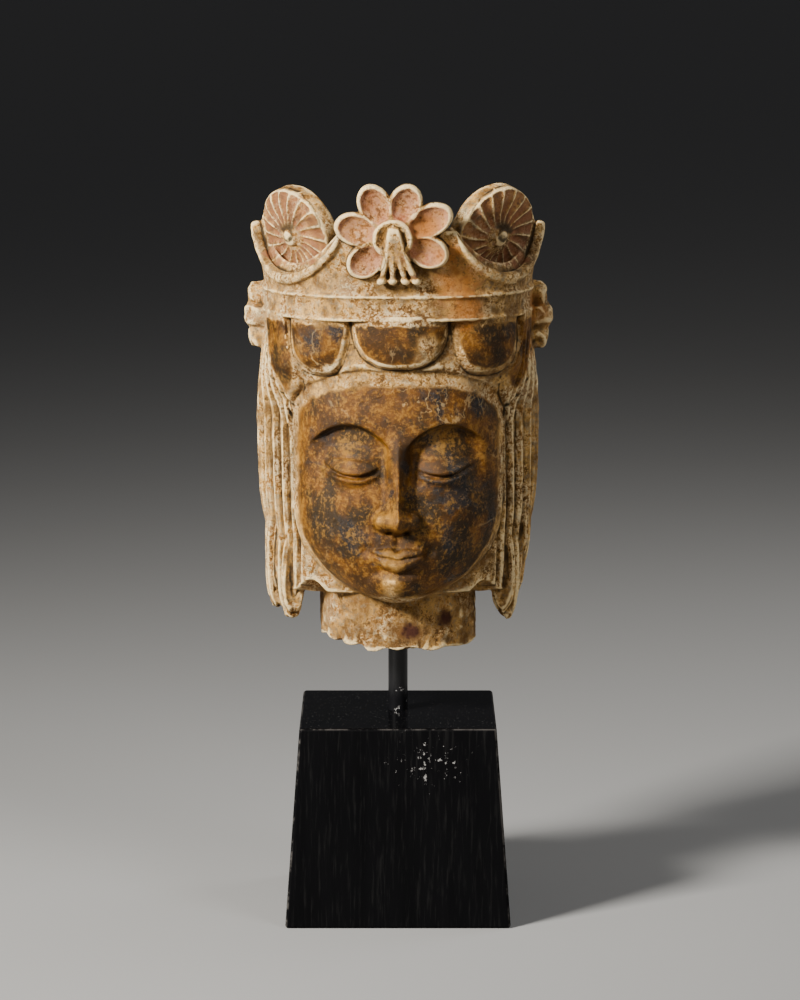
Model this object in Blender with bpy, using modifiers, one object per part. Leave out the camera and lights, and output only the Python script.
"""A carved stone head of a crowned bodhisattva, held on a rod above a black display block.

The stand is sized in metres. The head is laid out on a canon of equal units, 375 to its height,
as an image maker divides a figure before carving. Its forms are drawn round an upright axis:
"around" is the angle from the middle of the face, positive towards +X, and "up" is the height
above the broken edge of the neck, in units. The face looks along -Y.
"""

import bmesh
import bpy
import numpy as np
from mathutils import Vector

# The display block, in metres
BLOCK_FOOT = 0.178
BLOCK_TOP = 0.155
BLOCK_HEIGHT = 0.158
BLOCK_ROUNDING = 0.0025

# The rod, in metres
ROD_DIAMETER = 0.0155
ROD_SHOWN = 0.055
ROD_IN_BLOCK = 0.060
ROD_IN_NECK = 0.080
ROD_CLEARANCE = 0.0003
ROD_SIDES = 32
PAST_FACE = 0.010

# The head, in metres, and the canon that divides it
HEAD_HEIGHT = 0.375
CANON = 375
UNIT = HEAD_HEIGHT / CANON
CROWN_WALL = 0.016

# Heights of the main levels, in units above the neck's broken edge
CHIN = 42
FACE_THIRD = 63
NOSE_BASE = CHIN + FACE_THIRD
JAW_BEND = NOSE_BASE + 25
BROW_ROOT = NOSE_BASE + FACE_THIRD
HAIRLINE = BROW_ROOT + FACE_THIRD
HAIR_END = 40
BAND_FOOT = 268
BAND_TOP = 287
HORN_TOP = 338

# Half-widths and depths from the axis, in units
FACE_HALF_WIDTH = 89
FACE_DEPTH = 98
CAP_HALF_WIDTH = 103
CAP_DEPTH = 96.5
BAND_HALF_WIDTH = 105.5
BAND_DEPTH = 104.5
CROWN_FLARE = 8.5
NECK_HALF_WIDTH = 62
NECK_DEPTH = 56
HAIR_FRONT = 54

# Half-width of the hair at the sides and its depth at the back, as (height, size)
HAIR_OUTLINE = ((30, 97), (66, 102), (89, 104), (114, 109), (154, 112), (195, 112), (237, 108),
                (262, 104), (290, 101))
HAIR_BACK = ((30, 74), (60, 84), (110, 93), (160, 97), (220, 96), (290, 97))

# Lower edge of the hair over the forehead, as (degrees round from the middle, height)
HAIR_EDGE = ((0, HAIRLINE - 2), (25, HAIRLINE - 4), (38, HAIRLINE - 11), (50, HAIRLINE - 19),
             (58, HAIRLINE - 29), (64, HAIRLINE - 46), (75, HAIRLINE - 90))
HAIR_STEP = 5

# The waves of hair that hang from the band: (middle in degrees, half-span, foot's height, swelling)
WAVES = ((1, 22, BAND_FOOT - 33, 8), (-29, 20, BAND_FOOT - 36, 7), (33, 21, BAND_FOOT - 36, 7),
         (-55, 16, BAND_FOOT - 59, 6.5), (59, 16, BAND_FOOT - 59, 6.5))

# The swags of the crown's edge: their middle and half-span in degrees, and their dip
SWAG_MIDDLE = 51
SWAG_SPAN = 28.5
SWAG_START = SWAG_MIDDLE - SWAG_SPAN
SWAG_END = SWAG_MIDDLE + SWAG_SPAN
SWAG_DIP = 36

# The hollow inside the crown, level with the swags' lowest point, and the low back edge
HOLLOW_FLOOR = HORN_TOP - SWAG_DIP - 12
HOLLOW_CROWN = HORN_TOP - SWAG_DIP - 2
BACK_RIM = HORN_TOP - SWAG_DIP + 2

# The crown's shell discs, as (side, place round the crown, facing angle, radius), and their shared sizes
DISCS = ((-1, 53, 50, 37), (1, 50, 44, 39))
DISC_LEVEL = HORN_TOP - 1
DISC_OUT = (BAND_HALF_WIDTH + BAND_DEPTH) / 2 - 21
DISC_LEAN = 20
DISC_THICKNESS = 22
DISC_FLUTES = 18
DISC_BOSS = 7.5

# The lotus on the crown's front: its place, then each petal's (angle, reach) and the stamens' feet
FLOWER_TURN = -2
FLOWER_LEVEL = HORN_TOP - 5
FLOWER_OUT = BAND_DEPTH + 4.5
FLOWER_LEAN = 6
FLOWER_HEART = 16
FLOWER_BACK = 32
PETALS = ((70, 44), (118, 46), (166, 46), (220, 43), (26, 50), (-21, 45))
PETAL_HALF_WIDTH = 13
PETAL_THICKNESS = 5
STAMEN_FEET = (-9, 0, 10, 19)
STAMEN_DEPTH = 9

# The ribbon knots beside the crown, as (height, distance out, half-sizes) of each lump
KNOTS = ((BAND_FOOT + 11, BAND_HALF_WIDTH + 1.5, (12, 15, 10)),
         (BAND_FOOT - 5, BAND_HALF_WIDTH + 3.5, (13, 18, 11)),
         (BAND_FOOT - 21, BAND_HALF_WIDTH + 1.5, (12, 15, 10)))

# The ends of the side locks, as (middle, half-sizes)
LOCK_OUT = FACE_HALF_WIDTH + 8
LOCKS = (((-LOCK_OUT, -6, HAIR_END + 40), (9, 20, 50)), ((12 - LOCK_OUT, -18, HAIR_END + 27), (12, 16, 44)),
         ((6 - LOCK_OUT, 14, HAIR_END + 36), (12, 20, 46)), ((LOCK_OUT, -4, HAIR_END + 68), (9, 20, 43)),
         ((LOCK_OUT - 12, -18, HAIR_END + 27), (12, 16, 44)), ((LOCK_OUT - 8, 12, HAIR_END + 36), (12, 20, 46)))

# Shares of the rough form's rows: under the neck, up to the crown, up its wall, over and down into the hollow
UNDER_SHARE = 0.03
BODY_SHARE = 0.74
RIM_SHARE = 0.86
INNER_SHARE = 0.88
FLOOR_SHARE = 0.92

# The head's mesh: the rough form's columns and rows, the fusing grid and the share of triangles kept
COLUMNS = 200
ROWS = 240
FUSE_GRID = 2.6 * UNIT
KEPT_SHARE = 0.072

# Levels worked out from the sizes above, in metres
NECK_FOOT = BLOCK_HEIGHT + ROD_SHOWN
ROD_FOOT = BLOCK_HEIGHT - ROD_IN_BLOCK
ROD_TOP = NECK_FOOT + ROD_IN_NECK


def smooth(start, end, value):
    """0 before start, 1 after end, with an easy rise between them."""
    t = np.clip((value - start) / (end - start), 0, 1)
    return t * t * (3 - 2 * t)


def swell(distance):
    """A round bump: 1 in the middle, 0 from a distance of 1 outwards."""
    return np.clip(1 - distance**2, 0, 1) ** 1.5


def dome(distance):
    """A bump with steep sides: 1 in the middle, 0 from a distance of 1 outwards."""
    return np.sqrt(np.clip(1 - distance**2, 0, 1))


def curve_through(stations, at):
    """A smooth curve through (place, value) stations, read at many places."""
    places, values = np.array(stations, float).T
    slopes = np.gradient(values, places)
    at = np.clip(at, places[0], places[-1])
    i = np.clip(np.searchsorted(places, at) - 1, 0, len(places) - 2)
    step = places[i + 1] - places[i]
    t = (at - places[i]) / step
    rise = values[i] * (1 + 2 * t) * (1 - t) ** 2 + values[i + 1] * t**2 * (3 - 2 * t)
    return rise + step * (slopes[i] * t * (1 - t) ** 2 - slopes[i + 1] * t**2 * (1 - t))


def ring(around, half_width, depth, power=2.3):
    """Radius at each angle of a rounded oval with this half-width and depth."""
    across = np.abs(np.sin(around)) / half_width
    ahead = np.abs(np.cos(around)) / depth
    return (across**power + ahead**power) ** (-1 / power)


def face_form(around, up):
    """Radius of the egg of the face, before its features."""
    below = np.clip((JAW_BEND - up) / (JAW_BEND - CHIN), 0, 1)
    half_width = FACE_HALF_WIDTH * np.clip(1 - below**2.4, 0, 1) ** 0.53
    half_width = half_width * (1 - 0.06 * smooth(BROW_ROOT + 22, HAIRLINE + 19, up))
    under_chin = np.clip((CHIN + 30 - up) / 30, 0, 1)
    depth = NECK_DEPTH + (FACE_DEPTH - 3 - NECK_DEPTH) * np.sqrt(1 - under_chin**2.2)
    depth = depth + 3 * smooth(CHIN + 30, BROW_ROOT, up) - 5 * smooth(BROW_ROOT + 10, HAIRLINE + 20, up)
    return ring(around, np.maximum(half_width, 1), depth) * (up > CHIN)


def hair_form(around, up):
    """Radius of the hair that falls behind the face, at the sides and the back."""
    ahead = HAIR_FRONT + (CAP_DEPTH - HAIR_FRONT) * smooth(BROW_ROOT + 17, HAIRLINE + 9, up)
    depth = np.where(np.cos(around) > 0, ahead, curve_through(HAIR_BACK, up))
    end = HAIR_END + 6 * np.cos(around)
    rounded = np.sqrt(np.clip((up - end) / 9, 0, 1))
    return ring(around, curve_through(HAIR_OUTLINE, up), depth) * rounded


def cap_form(around, up):
    """Radius of the smooth hair under the waves, with a rounded edge that frames the forehead."""
    degrees = np.abs(np.degrees(around))
    face = face_form(around, up)
    slope = (curve_through(HAIR_EDGE, degrees + 1) - curve_through(HAIR_EDGE, degrees - 1)) / 3.3
    over = (up - curve_through(HAIR_EDGE, degrees)) / np.hypot(1, slope)
    edge = HAIR_STEP * dome(np.clip(over / 6, 0, 1) - 1)
    rest = np.maximum(ring(around, CAP_HALF_WIDTH, CAP_DEPTH) - face - HAIR_STEP, 0)
    return (face + edge + rest * smooth(2, 20, over)) * (over > 0) * (degrees < 75)


def waves(around, up):
    """How far the rounded waves of hair, which hang from the band over the forehead, swell from its cap."""
    found = np.zeros_like(around + up)
    for middle, half_span, foot, swelling in WAVES:
        sideways = np.abs(np.degrees(around) - middle) / half_span
        upright = np.abs(up - BAND_FOOT) / (BAND_FOOT - foot)
        reach = (sideways**2.5 + upright**2.5) ** (1 / 2.5)
        found = np.maximum(found, swelling * dome(reach))
    return found


def band_form(around, up):
    """Radius of the plain band at the crown's foot, with a ridge along each edge."""
    ridges = 2 * swell((up - BAND_TOP) / 2.5) + 1.5 * swell((up - BAND_FOOT - 1.5) / 2.5)
    inside = (up > BAND_FOOT) & (up < BAND_TOP + 3)
    return (ring(around, BAND_HALF_WIDTH, BAND_DEPTH, 2.4) + ridges) * inside


def crown_rim(around):
    """Height of the crown's edge: swags between a front panel and two horns, and a plain low back."""
    degrees = np.abs(np.degrees(around))
    sag = np.clip(1 - ((degrees - SWAG_MIDDLE) / SWAG_SPAN) ** 2, 0, 1) ** 0.8
    back = (HORN_TOP - BACK_RIM) * smooth(SWAG_END + 4.5, SWAG_END + 32.5, degrees)
    return HORN_TOP - SWAG_DIP * sag - back


def crown_form(around, up):
    """Radius of the crown's flaring wall, with a rolled lip along each swag."""
    rise = np.clip((up - BAND_TOP) / (HORN_TOP - BAND_TOP), 0, 1.3)
    flare = CROWN_FLARE * rise**1.2
    below_rim = crown_rim(around) - up
    degrees = np.abs(np.degrees(around))
    ends = smooth(SWAG_END - 1.5, SWAG_END + 4.5, degrees)
    lip = 3 * swell((below_rim - 5) / 4.5) * smooth(SWAG_START - 2.5, SWAG_START + 3.5, degrees) * (1 - ends)
    wall = ring(around, BAND_HALF_WIDTH - 0.5 + flare, BAND_DEPTH - 1 + flare, 2.4)
    return (wall + lip) * (up > BAND_TOP - 2)


def brow_line(across):
    """Height of the brow's arch at each place across the face."""
    return BROW_ROOT + 0.32 * FACE_THIRD * (1 - ((across - 38) / 34) ** 2)


def nose(across, up):
    """Forward height of the nose: a straight ridge that widens to a rounded tip, with two wings."""
    length = np.clip((BROW_ROOT + 6 - up) / (BROW_ROOT + 6 - NOSE_BASE), 0, 1)
    height = (5 + 15 * length) * dome(np.clip((NOSE_BASE + 8 - up) / 9, 0, 1))
    height = height * (1 - smooth(BROW_ROOT - 2, BROW_ROOT + 16, up))
    wedge = 0.5 + 0.5 * np.cos(np.pi * np.clip((across - 1) / (9 + 5 * length**2), 0, 1))
    tip = 23 * swell(np.hypot(across / 13, (up - NOSE_BASE - 9) / 12))
    wing = 13 * swell(np.hypot((across - 11) / 11, (up - NOSE_BASE - 8) / 10.5))
    return ((height * wedge) ** 4 + tip**4 + wing**4) ** 0.25


def mouth(across, up):
    """Forward height of the lips and the soft form round them."""
    half_width = 0.37 * FACE_THIRD
    share = np.clip(across / half_width, 0, 1)
    line = NOSE_BASE - FACE_THIRD / 3 + 4 * share**2.5
    upper_depth = 8 - 5.5 * share**1.5 - 2 * swell(across / 4)
    lower_depth = 9.5 * (1 - share**2) ** 0.7 + 0.5
    upper = 5.5 * dome((up - line - upper_depth * 0.35) / (upper_depth * 0.75)) * (up > line)
    lower = 6 * dome((line - up - lower_depth * 0.4) / (lower_depth * 0.65)) * (up < line)
    lips = (upper + lower) * (1 - share**3)
    round_it = 4 * swell(np.hypot(across / 36, (up - line) / 26))
    corner = 3 * swell(np.hypot((across - half_width - 1) / 7, (up - line - 1) / 7))
    groove = 1.6 * swell(across / 4) * smooth(NOSE_BASE + 2, NOSE_BASE - 4, up) * smooth(line + 5, line + 9, up)
    return round_it + lips - corner - groove


def eye(across, up):
    """Forward height of the hollow under the brow and of the lowered lid over the eye."""
    under_brow = brow_line(across) - up
    reach = smooth(0, 8, under_brow) * (1 - smooth(18, 48, under_brow))
    hollow = reach * (1 - smooth(54, 72, across)) * smooth(4, 14, across)
    lid = swell(np.hypot((across - 37) / 28, (up - BROW_ROOT + 13) / 18))
    slit = BROW_ROOT - 21 + 4 * ((across - 34) / 18) ** 2
    along = np.clip(1 - ((across - 36.5) / 21) ** 2, 0, 1) ** 0.5
    gap = 2.4 * swell((up - slit + 2) / 3) * along
    return 6.5 * lid - 7.5 * hollow - gap


def features(across, up):
    """Forward height of everything on the face, at a place across it and up it."""
    across = np.abs(across)
    cheek = 4 * swell(np.hypot((across - 40) / 42, (up - NOSE_BASE - 2) / 44))
    chin = 7 * swell(np.hypot(across / 27, (up - CHIN - 17) / 19))
    crease = 2 * swell(np.hypot(across / 24, (up - CHIN - 30) / 6))
    return nose(across, up) + mouth(across, up) + eye(across, up) + cheek + chin - crease


def strands(around, up):
    """Depth of the grooves that part the falling hair into strands, at the sides and the back."""
    turn = np.abs(np.degrees(around))
    place = (turn + (up - 150) * 0.03) / 6.5
    groove = np.abs(np.sin(np.pi * place)) ** 0.7
    falling = smooth(HAIR_END - 6, HAIR_END + 10, up) * (1 - smooth(BAND_FOOT - 28, BAND_FOOT - 6, up))
    return 4 * (1 - groove) * smooth(60, 66, turn) * falling


def outside(around, up):
    """(across, ahead) of the head's surface at each angle and height."""
    face = face_form(around, up)
    hair = hair_form(around, up) - strands(around, up)
    neck = ring(around, NECK_HALF_WIDTH, NECK_DEPTH, 2.1) * (up < CHIN + 30)
    fringe = cap_form(around, up) + waves(around, up)
    carried = np.maximum.reduce([hair, neck, fringe, band_form(around, up), crown_form(around, up)])
    radius = np.maximum(face, carried)
    across, ahead = radius * np.sin(around), radius * np.cos(around)
    on_face = smooth(-1, 2, face - carried) * smooth(0.2, 0.5, np.cos(around))
    return across, ahead + features(across, up) * on_face


def broken_edge(across, ahead):
    """How far the neck's broken underside rises above its lowest point."""
    chips = np.sin(across / 8 + 1) * np.cos(ahead / 10) + 0.6 * np.sin(across / 3.7 + ahead / 5)
    return 3.5 + 1.8 * chips + 7 * smooth(12, 62, -across)


def head_surface(around, way):
    """(x, y, z) in units. way runs from 0 under the neck, up the outside, over the rim, to 1 in the hollow."""
    rim = crown_rim(around)
    body = np.interp(way, (UNDER_SHARE, BODY_SHARE), (0, BAND_TOP))
    up_wall = np.clip((way - BODY_SHARE) / (RIM_SHARE - BODY_SHARE), 0, 1)
    up = np.where(way < BODY_SHARE, body, BAND_TOP + (rim - BAND_TOP) * up_wall)
    across, ahead = outside(around, np.minimum(up, rim))
    radius = np.hypot(across, ahead)
    over = np.interp(way, (RIM_SHARE, INNER_SHARE), (0, 1))
    down = np.interp(way, (INNER_SHARE, FLOOR_SHARE), (0, 1))
    inwards = np.interp(way, (INNER_SHARE, FLOOR_SHARE, 1), (1, 0.85, 0))
    under = np.clip(way / UNDER_SHARE, 0, 1)
    shrink = under * (radius - CROWN_WALL / UNIT * over) / radius * inwards
    floor = np.interp(inwards, (0, 0.85), (HOLLOW_CROWN, HOLLOW_FLOOR))
    height = up + (floor - up) * down
    across, ahead = across * shrink, ahead * shrink
    height = height + broken_edge(across, ahead) * np.clip(1 - height / 18, 0, 1)
    return across, -ahead, height


def shaped_ball(name, columns, rows, surface):
    """A ball whose points are moved to surface(turn, way), with way from 0 at the low pole to 1 at the high one."""
    mesh = bpy.data.meshes.new(name)
    made = bmesh.new()
    bmesh.ops.create_uvsphere(made, u_segments=columns, v_segments=rows, radius=1)
    made.to_mesh(mesh)
    made.free()
    points = np.empty(len(mesh.vertices) * 3)
    mesh.vertices.foreach_get("co", points)
    x, y, z = points.reshape(-1, 3).T
    way = 1 - np.arccos(np.clip(z, -1, 1)) / np.pi
    moved = np.stack(surface(np.arctan2(x, -y), way), axis=1)
    mesh.vertices.foreach_set("co", (moved * UNIT).ravel())
    mesh.update()
    return mesh


def stood_on_crown(surface, place, facing, level, out, lean):
    """Carries an ornament's (sideways, upwards, outwards) points to its place round the crown."""
    turn, face, tip = np.radians(place), np.radians(facing), np.radians(lean)

    def placed(*where):
        side, rise, proud = surface(*where)
        rise, proud = rise * np.cos(tip) - proud * np.sin(tip), proud * np.cos(tip) + rise * np.sin(tip)
        x = out * np.sin(turn) + side * np.cos(face) + proud * np.sin(face)
        y = -out * np.cos(turn) + side * np.sin(face) - proud * np.cos(face)
        return x, y, level + rise

    return placed


def shell_disc(radius):
    """A thick round slab, cut with curved channels that wind out from a round boss."""
    def surface(turn, way):
        reach = np.sin(np.pi * way)
        across = radius * reach**0.45
        thick = DISC_THICKNESS / 2 * (1 + np.sign(way - 0.5) * np.abs(np.cos(np.pi * way)) ** 0.35)
        share = across / radius
        phase = DISC_FLUTES * (turn + 0.25 * share) / (2 * np.pi)
        channel = 2.6 * dome(2 * (phase % 1) - 1) * smooth(0.22, 0.4, share) * (1 - smooth(0.95, 1, share))
        boss = 4 * dome(across / DISC_BOSS)
        proud = thick + (boss - channel) * (way > 0.5)
        return across * np.sin(turn), -across * np.cos(turn), proud

    return surface


def petal(angle, length):
    """An oval petal with a raised rim round a hollow, reaching from the flower's middle at this angle."""
    heading = np.radians(angle)
    inner = FLOWER_HEART - 5

    def surface(turn, way):
        reach = np.sin(np.pi * way) ** 0.8
        along = inner + (length - inner) / 2 * (1 - reach * np.cos(turn))
        aside = PETAL_HALF_WIDTH * reach * np.sin(turn)
        thick = -np.cos(np.pi * way)
        dish = np.where(thick > 0, 1 - 1.1 * swell(reach), 1)
        proud = PETAL_THICKNESS * thick * dish + 2.5 * swell((reach - 0.86) / 0.2) * (thick > 0)
        side = along * np.cos(heading) + aside * np.sin(heading)
        rise = along * np.sin(heading) - aside * np.cos(heading)
        return side, rise, proud

    return surface


def flower_heart(turn, way):
    """The round heart of the flower: a raised ring round a hollow."""
    reach = np.sin(np.pi * way)
    front = 9 - 4 * swell(reach / 0.75)
    proud = np.where(way > 0.5, front * np.abs(np.cos(np.pi * way)) ** 0.4, 9 * np.cos(np.pi * way))
    across = FLOWER_HEART * reach**0.6
    return across * np.sin(turn), -across * np.cos(turn), np.where(way > 0.5, proud, -np.abs(proud))


def flower_back(turn, way):
    """The round plate of stone that joins the petals behind."""
    reach = np.sin(np.pi * way)
    across = FLOWER_BACK * reach**0.6
    return across * np.sin(turn), -across * np.cos(turn), -6 - 5 * np.cos(np.pi * way)


def stamen(foot_across):
    """One hanging thread of the flower's heart, cut in relief, which ends in a small round cup."""
    def surface(turn, way):
        side = curve_through(((0, 0), (0.3, foot_across * 0.3), (1, foot_across)), way)
        rise = curve_through(((0, 11), (0.15, 8), (0.35, -5), (1, -36)), way)
        out = curve_through(((0, 4), (0.15, 9), (0.4, 10), (1, 5)), way)
        thick = 2.7 * np.sin(np.pi * way) ** 0.3 + 1.6 * swell((way - 0.93) / 0.09)
        thick = thick * np.sqrt(np.clip((1 - way) * 30, 0, 1))
        rooted = np.maximum(np.cos(turn), 0) * (STAMEN_DEPTH - thick) * dome(2 * way - 1)
        return side - thick * np.sin(turn), rise, out - thick * np.cos(turn) - rooted

    return surface


def lump(centre, half_sizes, rough, roundness=1.0):
    """A rounded lump of stone with this much unevenness. A roundness under 1 makes it boxy."""
    def surface(turn, way):
        reach = np.sin(np.pi * way)
        directions = (reach * np.sin(turn), -reach * np.cos(turn), -np.cos(np.pi * way))
        uneven = 1 + rough * np.sin(3 * turn + 5 * way) * np.cos(7 * way + 2 * turn)
        boxed = [np.sign(d) * np.abs(d) ** roundness for d in directions]
        return tuple(c + h * b * uneven for c, h, b in zip(centre, half_sizes, boxed))

    return surface


def on_flower(surface):
    """Carries a part of the lotus to its place on the crown's front."""
    return stood_on_crown(surface, FLOWER_TURN, FLOWER_TURN, FLOWER_LEVEL, FLOWER_OUT, FLOWER_LEAN)


def head_forms():
    """Every rough form of the head: (columns, rows, surface)."""
    forms = [(COLUMNS, ROWS, head_surface)]
    for side, place, facing, radius in DISCS:
        disc = stood_on_crown(shell_disc(radius), side * place, side * facing, DISC_LEVEL, DISC_OUT, DISC_LEAN)
        forms.append((72, 48, disc))
        for height, out, half_sizes in KNOTS:
            forms.append((24, 16, lump((side * out, 2, height), half_sizes, 0.08, 0.65)))
    for angle, length in PETALS:
        forms.append((32, 24, on_flower(petal(angle, length))))
    forms.append((32, 24, on_flower(flower_heart)))
    forms.append((32, 24, on_flower(flower_back)))
    for foot in STAMEN_FEET:
        forms.append((12, 32, on_flower(stamen(foot))))
    for centre, half_sizes in LOCKS:
        forms.append((28, 32, lump(centre, half_sizes, 0.03, 0.8)))
    return forms


def stone_head():
    """The head as one closed body: its rough forms fused, then thinned to few triangles."""
    fused = bmesh.new()
    for columns, rows, surface in head_forms():
        rough = shaped_ball("rough_form", columns, rows, surface)
        fused.from_mesh(rough)
        bpy.data.meshes.remove(rough)
    mesh = bpy.data.meshes.new("stone_head")
    fused.to_mesh(mesh)
    fused.free()
    head = bpy.data.objects.new("stone_head", mesh)
    head.location.z = NECK_FOOT
    grid = head.modifiers.new("Fuse", "REMESH")
    grid.mode = "VOXEL"
    grid.voxel_size = FUSE_GRID
    thin = head.modifiers.new("Thin", "DECIMATE")
    thin.ratio = KEPT_SHARE
    return head


def upright_cylinder(name, diameter, low, high):
    """A closed upright cylinder on the rod's axis."""
    mesh = bpy.data.meshes.new(name)
    made = bmesh.new()
    bmesh.ops.create_cone(made, cap_ends=True, segments=ROD_SIDES, radius1=diameter / 2, radius2=diameter / 2,
                          depth=high - low)
    bmesh.ops.translate(made, verts=made.verts, vec=(0, 0, (low + high) / 2))
    made.to_mesh(mesh)
    made.free()
    return bpy.data.objects.new(name, mesh)


def display_block():
    """The block: a square foot that tapers to a smaller top, with slightly rounded edges."""
    mesh = bpy.data.meshes.new("display_block")
    made = bmesh.new()
    bmesh.ops.create_cube(made, size=1)
    for corner in made.verts:
        width = BLOCK_TOP if corner.co.z > 0 else BLOCK_FOOT
        height = BLOCK_HEIGHT if corner.co.z > 0 else 0
        corner.co = Vector((np.sign(corner.co.x) * width / 2, np.sign(corner.co.y) * width / 2, height))
    made.to_mesh(mesh)
    made.free()
    block = bpy.data.objects.new("display_block", mesh)
    rounding = block.modifiers.new("Rounding", "BEVEL")
    rounding.width = BLOCK_ROUNDING
    rounding.segments = 3
    return block


def bored(piece, low, high):
    """Cuts the rod's clearance hole into a piece, and returns the hidden cutter."""
    hole = upright_cylinder(piece.name + "_bore", ROD_DIAMETER + 2 * ROD_CLEARANCE, low, high)
    hole.hide_render = True
    hole.display_type = "WIRE"
    cut = piece.modifiers.new("Bore", "BOOLEAN")
    cut.operation = "DIFFERENCE"
    cut.object = hole
    return hole


def material(name, colour, roughness):
    """A plain surface of this colour and roughness."""
    made = bpy.data.materials.new(name)
    made.use_nodes = True
    shader = made.node_tree.nodes["Principled BSDF"]
    shader.inputs["Base Color"].default_value = (*colour, 1)
    shader.inputs["Roughness"].default_value = roughness
    return made


def main():
    for old in list(bpy.data.objects):
        bpy.data.objects.remove(old)
    parts = bpy.data.collections.new("bodhisattva_head")
    cutters = bpy.data.collections.new("cutters")
    bpy.context.scene.collection.children.link(parts)
    bpy.context.scene.collection.children.link(cutters)

    head = stone_head()
    rod = upright_cylinder("support_rod", ROD_DIAMETER, ROD_FOOT, ROD_TOP)
    block = display_block()
    head.data.materials.append(material("patinated_limestone", (0.42, 0.31, 0.19), 0.6))
    rod.data.materials.append(material("black_enamel", (0.012, 0.012, 0.014), 0.3))
    block.data.materials.append(material("black_lacquer", (0.010, 0.010, 0.012), 0.25))
    for piece in (head, rod, block):
        parts.objects.link(piece)
    cutters.objects.link(bored(head, NECK_FOOT - PAST_FACE, ROD_TOP + ROD_CLEARANCE))
    cutters.objects.link(bored(block, ROD_FOOT - ROD_CLEARANCE, BLOCK_HEIGHT + PAST_FACE))


main()
